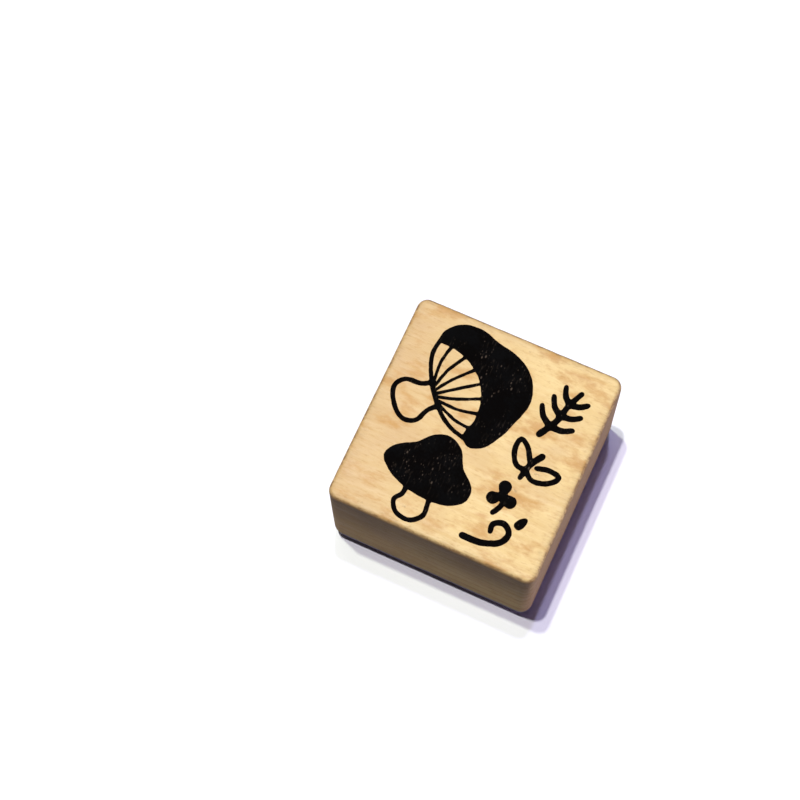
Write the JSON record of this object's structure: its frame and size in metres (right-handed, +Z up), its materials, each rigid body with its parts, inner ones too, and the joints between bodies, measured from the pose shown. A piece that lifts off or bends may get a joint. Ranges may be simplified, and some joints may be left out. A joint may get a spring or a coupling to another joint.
{
  "type": "rubber stamp",
  "caption": "Wood-mounted rubber stamp: square hardwood block with a printed toadstool and plant index on top, over a foam cushion and a moulded rubber die.",
  "frame": {"origin": "middle of the footprint, on the surface that the printing face stands on", "axes": "+Z up through the block, -Y the side nearest the user when the picture is upright, +X to the right of the picture"},
  "size_m": [0.04, 0.0414, 0.0271],
  "materials": {
    "wood": "bare sanded pale hardwood",
    "ink": "printed near-black ink film",
    "adhesive": "double-sided film, milky",
    "foam": "fine closed-cell foam, pale lilac grey",
    "rubber": "moulded, fine matt, lilac grey"
  },
  "bodies": {
    "block": {"wood_block": "wood", "ink_large_mushroom": "ink", "ink_small_mushroom": "ink", "ink_frond": "ink", "ink_leaf_pair": "ink", "ink_trefoil": "ink", "ink_tendril": "ink", "ink_bud": "ink", "block_adhesive": "adhesive", "foam_cushion": "foam"},
    "die": {"die_adhesive": "adhesive", "rubber_die": "rubber"}
  },
  "joints": [
    {"name": "die_press", "type": "slide", "parent": "block", "child": "die", "axis": [0, 0, 1], "range_m": [0, 0.0005], "stiffness_N_per_m": 60000, "deforming": ["foam_cushion"]}
  ]
}
